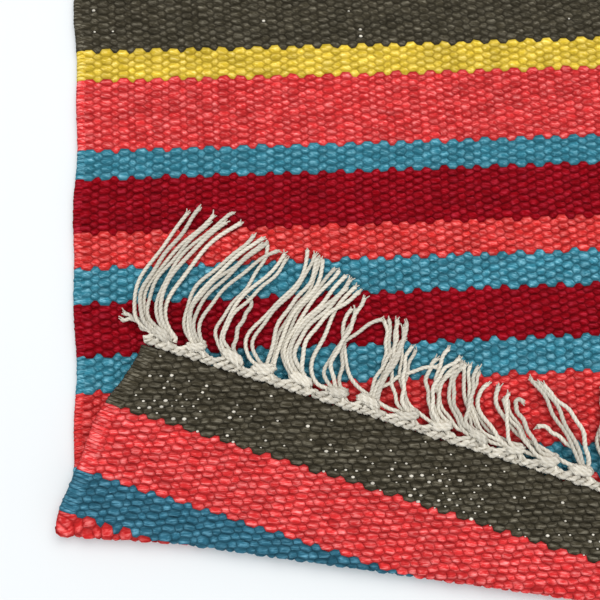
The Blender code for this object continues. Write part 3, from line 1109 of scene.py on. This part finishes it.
STRAND_LEAD = 0.0036  # the length in which a strand's two plies turn once
FAR_SIDES = 5
NEAR_SIDES = 6
TWINING = 0.00098  # radius
TWINING_TURN = 0.0062
TWINING_PATH = {"out": 0.0021, "swing": 0.0011, "rise": 0.0008, "from_edge": 0.0012, "step": 0.0006}
KNOT_STRAND = 0.00088  # radius
# Where the warps that a knot gathers leave the cloth, as shares of a bunch's half width.
KNOT_WARPS = (-0.98, -0.62, -0.2, 0.25, 0.62, 0.98)
KNOT_STEPS = 13  # along each turn of the strand that is knotted round them
# The least height of these strands' middles over the floor, as shares of their radius.
TWINING_CLEAR = 1.45
GATHERED_CLEAR = 1.2
KNOT_CLEAR = 1.5
TUFTS = {"shortest": 0.0009, "longest": 0.0024, "spread": 0.45, "curl": 0.4, "clear": 0.75}
TUFTS_PER_STRAND = 4
STRANDS_APART = {"at_knot": 0.0014, "more_at_tip": 0.0008}
STRANDS_PILE = 0.0024  # how far the top strand of a bunch lies over the bottom one
STRAND_POINTS = 30


def at_end(end, rows):
    """Rows of u, distance out from the end and w, taken to flat cloth places."""
    rows = np.asarray(rows, float)
    v = -rows[:, 1] if end == "folded" else LENGTH + rows[:, 1]
    return pull_to_selvedges(np.column_stack((rows[:, 0], v, rows[:, 2])))


def placed(end, rows, least_height):
    """The same rows where they lie on the folded rug, none nearer the floor than this."""
    places = fold(at_end(end, rows))
    places[:, 2] = np.maximum(places[:, 2], least_height)
    return places


def uneven(count, spacing, amount):
    """A smooth random line of this many values, drawn through points this far apart."""
    knots = RANDOM.uniform(-amount, amount, count // spacing + 3)
    return np.interp(np.arange(count) / spacing, np.arange(len(knots)), knots)


def twining_paths(end):
    """Two thick cords wound round each other along the edge of the cloth."""
    edge = TWINING_PATH["from_edge"]
    u = np.arange(edge, WIDTH - edge, TWINING_PATH["step"])
    paths = []
    for half in (0, math.pi):
        angle = 2 * math.pi * u / TWINING_TURN + half + uneven(len(u), 9, 0.8)
        swing = TWINING_PATH["swing"] * np.cos(angle)
        out = TWINING_PATH["out"] + swing + uneven(len(u), 7, 0.0004)
        radii = 1 + uneven(len(u), 5, 0.26)
        rows = np.column_stack((u, out, TWINING_PATH["rise"] * np.sin(angle)))
        paths.append((placed(end, rows, TWINING_CLEAR * TWINING), radii))
    return paths


def knot_paths(end):
    """At each bunch: warps gathered slantwise from the edge, and the overhand knot round them."""
    paths = []
    reach = WIDTH / BUNCHES / 2
    for number in range(BUNCHES):
        middle = WIDTH * (number + 0.5) / BUNCHES
        shift = 0.0010 * RANDOM.uniform(-1, 1)
        for lane, share in enumerate(KNOT_WARPS):
            start = share * reach
            x = np.linspace(0, 1, 9)
            u = middle + start + (shift + start * 0.34 - start) * ease(x)
            out = 0.0026 + 0.0036 * x - 0.0008 * abs(share) * np.sin(math.pi * x)
            face = 1 if lane % 2 else -1
            w = face * (0.0008 - 0.0003 * x)
            rows = np.column_stack((u, out, w))
            paths.append((placed(end, rows, GATHERED_CLEAR * KNOT_STRAND), np.ones(len(x))))
        turns = RANDOM.uniform(2.4, 3.2)
        x = np.linspace(0, 1, int(turns * KNOT_STEPS))
        angle = 2 * math.pi * (turns * x + RANDOM.uniform(0, 1))
        lean = RANDOM.uniform(0.0005, 0.0014) * RANDOM.choice((-1, 1))
        wide = RANDOM.uniform(0.0031, 0.0040)
        u = middle + shift + wide * np.cos(angle) * (1 - 0.15 * np.cos(2 * math.pi * x))
        out = KNOT_AT - 0.0014 + 0.0032 * x + lean * np.sin(angle + 1.0)
        w = 0.00115 * np.sin(angle) - 0.0004
        radii = np.interp(x, (0, 0.1, 0.9, 1), (0.6, 1.2, 1.2, 0.6)) * RANDOM.uniform(0.9, 1.05)
        rows = np.column_stack((u, out, w))
        paths.append((placed(end, rows, KNOT_CLEAR * KNOT_STRAND), radii))
    return paths


def sway(number, scale):
    """An uneven but repeatable amount for a numbered bunch, between -scale and scale.

    The waves' lengths, in bunches, don't divide one another, so no two neighbours sway alike.
    """
    return scale * math.sin(2.4 * number + 0.7) * math.cos(0.9 * number)


def heading(direction, degrees):
    """The level direction turned clockwise by this angle, seen from above."""
    angle = math.radians(degrees)
    x, y = direction
    return np.array((
        x * math.cos(angle) + y * math.sin(angle), y * math.cos(angle) - x * math.sin(angle),
    ))


def locks_of_bunch(end, number, turned):
    """Which way a bunch points along the rug, its locks, and the level that they rest at."""
    if end == "folded" and turned > LAST_INWARD_TURN:
        placed_locks = [lock for lock in FOLDED_LOCKS if lock["bunch"] == number]
        if placed_locks:
            return (0, 1), placed_locks, THICK
        middle, lengthwise, rest = dict(LOOSE_BUNCH), (0, 1), THICK
    else:
        middle, rest = dict(FAR_BUNCH), 0.0
        lengthwise = (0, -1) if end == "folded" else (0, 1)
    for i, angle in enumerate(("sets_off", "lies", "tip_points")):
        middle[angle] += sway(number + 3 * i, BUNCH_SWAY)
    middle["reach"] += sway(number + 5, BUNCH_UNEVEN)
    locks = []
    for difference in LOOSE_LOCKS:
        turned_by = difference["turned"] + RANDOM.normal(0, 3)
        locks.append({
            "from": difference["from"] * lengthwise[1],
            "sets_off": middle["sets_off"] + turned_by * 0.5,
            "lies": middle["lies"] + turned_by,
            "tip_points": middle["tip_points"] + turned_by * 2 + RANDOM.normal(0, 10),
            "reach": middle["reach"] * difference["reach"] * RANDOM.uniform(0.9, 1.04),
            "strands": difference["strands"],
        })
    return lengthwise, locks, rest


def bunch_route(root, setting_off, lengthwise, lie, rest, x):
    """Places along a bunch from its knot, easing down to the level that it rests at."""
    pull = SET_OFF_PULL * lie["reach"] * np.hypot(*setting_off[:2])
    start = heading(lengthwise, lie["sets_off"]) * pull
    end = heading(lengthwise, lie["tip_points"]) * lie["reach"]
    chord = heading(lengthwise, lie["lies"]) * lie["reach"]
    x = x[:, None]
    blend = x * x * (3 - 2 * x)
    plan = root[:2] + chord * blend + start * (x * (1 - x) ** 2) - end * (x * x * (1 - x))
    fall = rest + (root[2] - rest) * (1 - x) ** 5 * (1 + 5 * x)
    height = np.maximum(rest, fall + setting_off[2] * lie["reach"] * x * (1 - x) ** 4)
    return np.hstack((plan, height))


def frayed_end(path, count):
    """Loose fibres past a strand's end."""
    tip = path[-1]
    forward = path[-1] - path[-3]
    forward = forward / np.linalg.norm(forward)
    sideways = np.array((-forward[1], forward[0], 0.0))
    tufts = []
    for number in range(count):
        length = RANDOM.uniform(TUFTS["shortest"], TUFTS["longest"])
        spread = RANDOM.uniform(-TUFTS["spread"], TUFTS["spread"])
        curl = RANDOM.uniform(-TUFTS["curl"], TUFTS["curl"])
        x = np.linspace(0, 1, 5)[:, None]
        aside = (number / max(count - 1, 1) - 0.5) * STRAND * 1.1
        points = tip + sideways * (aside + length * (spread * x + curl * x * x))
        points = points + forward * (length * x - 0.0006)
        points[:, 2] = np.maximum(points[:, 2], TUFTS["clear"] * STRAND)
        tufts.append((points, np.linspace(0.55, 0.30, 5)))
    return tufts


def strand_paths(end):
    """The loose strands of every bunch, lock by lock, and their frayed ends."""
    strands, tufts = [], []
    x = np.linspace(0, 1, STRAND_POINTS)
    for number in range(BUNCHES):
        middle = WIDTH * (number + 0.5) / BUNCHES
        out = KNOT_AT + 0.0008
        flat = at_end(end, [(middle, out, 0.0), (middle, out + 0.001, 0.0)])
        ends = fold(flat)
        setting_off = (ends[1] - ends[0]) / np.linalg.norm(ends[1] - ends[0])
        lengthwise, locks, rest = locks_of_bunch(end, number, turn(flat)[0])
        across = fold(at_end(end, [(middle + 0.001, out, 0.0)]))[0] - ends[0]
        across = across / np.linalg.norm(across)
        for order, lock in enumerate(locks):
            root = ends[0] + across * lock["from"]
            root[2] = max(root[2], STRAND_CLEAR)
            base = bunch_route(root, setting_off, lengthwise, lock, rest + STRAND_CLEAR, x)
            step = np.gradient(base, axis=0)
            aside = np.column_stack((step[:, 1], -step[:, 0]))
            aside = aside / np.maximum(np.linalg.norm(aside, axis=1), 1e-9)[:, None]
            waves = RANDOM.uniform(0.6, 1.4)
            phase = RANDOM.uniform(0, 1)
            drift = 0.0007 * np.sin(2 * math.pi * (waves * x + phase)) * ease(x / 0.5)
            for lane in range(lock["strands"]):
                place = lane - (lock["strands"] - 1) / 2
                route = base.copy()
                more = STRANDS_APART["more_at_tip"] * ease((x - 0.7) / 0.3)
                apart = STRANDS_APART["at_knot"] + more * RANDOM.uniform(-0.3, 1.2)
                own = 0.00035 * np.sin(2 * math.pi * (RANDOM.uniform(2, 4) * x + RANDOM.uniform(0, 1)))
                own = own + 0.0006 * np.sin(2 * math.pi * (x + RANDOM.uniform(0, 1))) * ease(x / 0.4)
                route[:, :2] += aside * (place * apart + drift + own)[:, None]
                layer = ((order * 2 + lane) % 5) / 4
                settle = ease(x / 0.15) * (1 - 0.8 * ease((x - 0.45) / 0.45))
                route[:, 2] += STRANDS_PILE * layer * settle
                inside = root - setting_off * 0.0018
                inside[2] = max(inside[2], STRAND_CLEAR)
                cut = len(route) - (0 if lane == 0 else RANDOM.integers(0, 3))
                path = np.vstack((inside, route[:cut]))
                radii = np.interp(np.linspace(0, 1, len(path)), (0, 0.93, 1), (1, 0.97, 1.10))
                strands.append((path, radii * RANDOM.uniform(0.92, 1.10)))
                tufts += frayed_end(path, TUFTS_PER_STRAND)
    return strands, tufts


def curves_from(name, paths):
    """One curve object with a spline for each path, its point radius a share of the strand's."""
    curve = bpy.data.curves.new(name, "CURVE")
    curve.dimensions = "3D"
    curve.twist_mode = "MINIMUM"
    for places, radii in paths:
        spline = curve.splines.new("POLY")
        spline.points.add(len(places) - 1)
        rows = np.column_stack((places, np.ones(len(places))))
        spline.points.foreach_set("co", rows.astype(np.float32).ravel())
        spline.points.foreach_set("radius", radii.astype(np.float32))
    piece = bpy.data.objects.new(name, curve)
    bpy.context.scene.collection.objects.link(piece)
    return piece


def spun(name, paths, material, radius, step, sides, lead, depth):
    """Turns the paths into twisted cotton strands, as one mesh."""
    source = curves_from(name + "_paths", paths)
    settings = {
        "Strand Radius": radius,
        "Ply Depth": depth,
        "Twist Length": lead,
        "Step": step,
        "Sides": sides,
        "Finish": material,
    }
    piece = worked(source, PLIED_STRAND, settings, name)
    discard(source)
    mesh = piece.data
    count = len(mesh.vertices)
    along = np.empty(count, np.float32)
    mesh.attributes["along"].data.foreach_get("value", along)
    strand = np.concatenate(([0], np.cumsum(np.diff(along) < -1e-6)))
    strands = int(strand[-1]) + 1
    tones = RANDOM.uniform(0, 1, strands)
    keep_values(mesh, "tone", tones[strand])
    mesh.shade_smooth()

    corners = corners_of(mesh)
    sizes = face_sizes(mesh)
    face_of = np.repeat(np.arange(len(sizes)), sizes)
    first_of_strand = np.searchsorted(strand, np.arange(strands))
    around = ((np.arange(count) - first_of_strand[strand]) % sides) / sides
    turned = around[corners]
    least, most = extremes(face_of, len(sizes), turned)
    seam = ((most - least)[face_of] > 0.5) & (sizes[face_of] == 4) & (turned < 0.5)
    turned = np.where(seam, turned + 1, turned)
    longest = float(along.max())
    rows = max(1, round(math.sqrt(strands / (longest / (2 * math.pi * radius)))))
    columns = math.ceil(strands / rows)
    owner = strand[corners]
    cell_x = owner % columns
    cell_y = owner // columns
    x = 0.06 + 0.88 * turned
    y = 0.03 + 0.93 * along[corners] / longest
    cap = sizes[face_of] != 4
    angle = 2 * math.pi * around[corners]
    x = np.where(cap, 0.5 + 0.3 * np.cos(angle), x)
    y = np.where(cap, 0.012 + 0.01 * np.sin(angle), y)
    set_uv(mesh, np.column_stack(((cell_x + x) / columns, (cell_y + y) / rows)))
    return piece


# ---------------------------------------------------------------------------------------------
# Putting the rug together
# ---------------------------------------------------------------------------------------------


SPECK_LEVEL = 0.00110  # over the cloth's middle
SPECK_SIDES = 6
SPECK_CORNERS = 2 * SPECK_SIDES + 1


def speck_template():
    """A warp that peeps out between two floats: a small low dome."""
    points = [(0.0, 0.0, 0.00034)]
    for height, size in ((0.00024, 0.6), (0.0, 1.0)):
        for number in range(SPECK_SIDES):
            angle = 2 * math.pi * number / SPECK_SIDES
            across, along = 0.00062 * size * math.cos(angle), 0.00050 * size * math.sin(angle)
            points.append((across, along, height))
    faces = []
    foot = 1 + SPECK_SIDES
    for number in range(SPECK_SIDES):
        after = (number + 1) % SPECK_SIDES
        faces.append((0, 1 + number, 1 + after))
        faces.append((1 + number, foot + number, foot + after, 1 + after))
    faces.append(tuple(range(2 * SPECK_SIDES, SPECK_SIDES, -1)))
    return mesh_object("speck", points, faces)


def warp_specks(material):
    """Cream warps that show between loosely beaten floats, mostly in the brown stripes."""
    places, sides, sizes = [], [], []
    end_picks = STRIPES[0]["picks"]
    for side in (1, -1):
        for pick in range(1, PICKS - 2):
            from_end = min(pick, PICKS - 1 - pick)
            if from_end < end_picks:
                share = 0.16 + 0.46 * ease((from_end - 3) / 8)
            elif YARN_NAMES[YARN_OF_PICK[pick]] == "brown":
                share = 0.03
            else:
                continue
            for warp in range(1, WARPS - 1):
                patch = 0.72 + 0.35 * math.sin(0.21 * warp + 1.1) + 0.2 * math.sin(0.53 * warp)
                if (warp + pick) % 2 == (side < 0) or RANDOM.uniform() > share * patch:
                    continue
                places.append((FIRST_WARP + WARP_PITCH * warp, pick + 0.5, side))
                sizes.append(0.65 + 0.85 * RANDOM.uniform() ** 2)
                sides.append(side)
    places = np.array(places)
    loom = places.copy()
    loom[:, 0] += RANDOM.uniform(-0.0002, 0.0002, len(loom))
    loom[:, 2] = places[:, 2] * SPECK_LEVEL
    flat = flat_from_loom(drifted(places, loom))
    template = speck_template()
    turned = np.zeros((len(flat), 3))
    turned[:, 0] = np.where(np.array(sides) > 0, 0, math.pi)
    sized = np.repeat(np.array(sizes)[:, None], 3, axis=1)
    cloud = point_cloud("speck_places", flat, turned, sized)
    settings = {"Template": template, "Weld Distance": 0.0, "Finish": material}
    piece = worked(cloud, SET_ON_POINTS, settings, "warp_specks")
    discard(cloud, template)
    mesh = piece.data
    points = points_of(mesh)
    set_points(mesh, fold(pull_to_selvedges(points)))
    mesh.shade_smooth()
    keep_values(mesh, "tone", 0.5 + 0.5 * np.sin(np.arange(len(points)) // SPECK_CORNERS * 2.3))
    keep_values(mesh, "along", np.zeros(len(points)))
    corners = corners_of(mesh)
    number = corners // SPECK_CORNERS
    columns = math.ceil(math.sqrt(len(flat)))
    cell = np.column_stack((number % columns, number // columns))
    local = (points - np.repeat(flat, SPECK_CORNERS, axis=0))[corners]
    inside = 0.5 + 0.35 * local[:, :2] / 0.0008
    set_uv(mesh, (cell + inside) / columns)
    return piece


def build_rug():
    materials = yarn_materials()
    cotton = make_cotton_fibre()
    plied = cotton_material("plied_cotton", cotton, 0.0, 4200.0)
    marked = cotton_material("fine_plied_cotton", cotton, 4 * math.pi / STRAND_LEAD, 4200.0)
    loose = cotton_material("loose_cotton", cotton, 0.0, 4200.0)

    fine = float_template("fine_float", 0.20 * WARP_PITCH, (0.31 * WARP_PITCH, 0.50, 0.00146))
    plain = float_template("plain_float", 0.26 * WARP_PITCH)
    least = float_template("least_float", 0)
    bands, picks, first_stripe = [], 0, 0
    cuts = [0]
    for stripes in BAND_STRIPES:
        picks += sum(stripe["picks"] for stripe in STRIPES[first_stripe:first_stripe + stripes])
        first_stripe += stripes
        cuts.append(picks)
    cuts += [PICKS - cut for cut in cuts[-2::-1]]
    for number, (start, stop) in enumerate(zip(cuts, cuts[1:])):
        upper = fine if number < 2 else plain
        under = fine if number < 1 else least
        name = f"weave_band_{number + 1}"
        bands.append(weave_band(name, (start, stop), upper, under, materials))
    rib, count = rib_template()
    middle = CORD_WIDTH / 2
    cords = [
        selvedge_cord("selvedge_left", middle, True, rib, count, materials),
        selvedge_cord("selvedge_right", WIDTH - middle, False, rib, count, materials),
    ]
    discard(fine[0], plain[0], least[0], rib)
    specks = warp_specks(loose)

    fringes = {}
    for end, material, step, sides, lead, depth in (
        ("folded", plied, STRAND_LEAD / 5, NEAR_SIDES, STRAND_LEAD, 0.08),
        ("far", marked, 0.0013, FAR_SIDES, 10.0, 0.0),
    ):
        strands, tufts = strand_paths(end)
        fringes[end] = [
            spun(f"{end}_end_twining", twining_paths(end), plied, TWINING, 0.0008, 6, 0.0045, 0.13),
            spun(f"{end}_end_knots", knot_paths(end), plied, KNOT_STRAND, 0.00085, 6, 0.0051, 0.12),
            spun(f"{end}_end_strands", strands, material, STRAND, step, sides, lead, depth),
            spun(f"{end}_end_frayed_tips", tufts, loose, STRAND, 0.0009, 3, 10.0, 0.0),
        ]
    return bands, cords, specks, fringes


def declare(bands, cords, specks, fringes):
    for piece in (*bands, *cords):
        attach(piece, "root")
        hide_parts("rug_cloth")
    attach(specks, "root")
    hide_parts("rug_cloth")
    for end, node in (("folded", "fringe_folded_end"), ("far", "fringe_far_end")):
        for piece in fringes[end]:
            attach(piece, "root")
            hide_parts(node)


# ---------------------------------------------------------------------------------------------
# Floor, light and camera
# ---------------------------------------------------------------------------------------------


FLOOR_REACH = 4


def stage_floor():
    corners = [(x * FLOOR_REACH, y * FLOOR_REACH, 0) for x, y in ((-1, -1), (1, -1), (1, 1), (-1, 1))]
    floor = mesh_object("floor", corners, [(0, 1, 2, 3)])
    material = bpy.data.materials.new("pale_floor")
    material.use_nodes = True
    surface = material.node_tree.nodes["Principled BSDF"]
    surface.inputs["Base Color"].default_value = (0.715, 0.730, 0.730, 1)
    surface.inputs["Roughness"].default_value = 0.75
    floor.data.materials.append(material)


def soft_light(name, direction, distance, size, watts, colour):
    light = bpy.data.lights.new(name, "AREA")
    light.shape = "DISK"
    light.size = size
    light.energy = watts
    light.color = colour
    lamp = bpy.data.objects.new(name, light)
    bpy.context.scene.collection.objects.link(lamp)
    towards = Vector(direction).normalized()
    lamp.location = Vector(LOOKED_AT) + towards * distance
    lamp.rotation_euler = towards.to_track_quat("Z", "Y").to_euler()


# Name, direction, distance, width, watts and colour.
LIGHTS = (
    ("key", (0.40, 0.60, 1.15), 1.6, 1.2, 15, (1.0, 0.985, 0.96)),
    ("fill", (-0.7, -0.4, 1.4), 1.8, 1.2, 6, (0.95, 0.98, 1.0)),
)
LOOKED_AT = (-0.1566, -0.1943, 0.0036)
CAMERA_DISTANCE = 0.300
CAMERA_TILT = math.radians(9)
CAMERA_ROLL = math.radians(2.4)


def light_and_camera():
    world = bpy.data.worlds.new("pale_surroundings")
    world.use_nodes = True
    background = world.node_tree.nodes["Background"]
    background.inputs["Color"].default_value = (0.93, 0.96, 1.0, 1)
    background.inputs["Strength"].default_value = 0.84
    scene = bpy.context.scene
    scene.world = world
    scene.view_settings.view_transform = "Standard"
    for row in LIGHTS:
        soft_light(*row)

    camera = bpy.data.cameras.new("camera")
    camera.sensor_width = 36
    camera.lens = 45
    camera.clip_start = 0.01
    viewer = bpy.data.objects.new("camera", camera)
    scene.collection.objects.link(viewer)
    right = Vector((math.cos(CAMERA_ROLL), -math.sin(CAMERA_ROLL), 0))
    page_up = Vector((math.sin(CAMERA_ROLL), math.cos(CAMERA_ROLL), 0))
    back = Vector((0, 0, 1)) * math.cos(CAMERA_TILT) - page_up * math.sin(CAMERA_TILT)
    up = back.cross(right)
    turned = Matrix((right, up, back)).transposed().to_4x4()
    viewer.matrix_world = Matrix.Translation(Vector(LOOKED_AT) + back * CAMERA_DISTANCE) @ turned
    scene.camera = viewer


light_and_camera()
stage_floor()
declare(*build_rug())
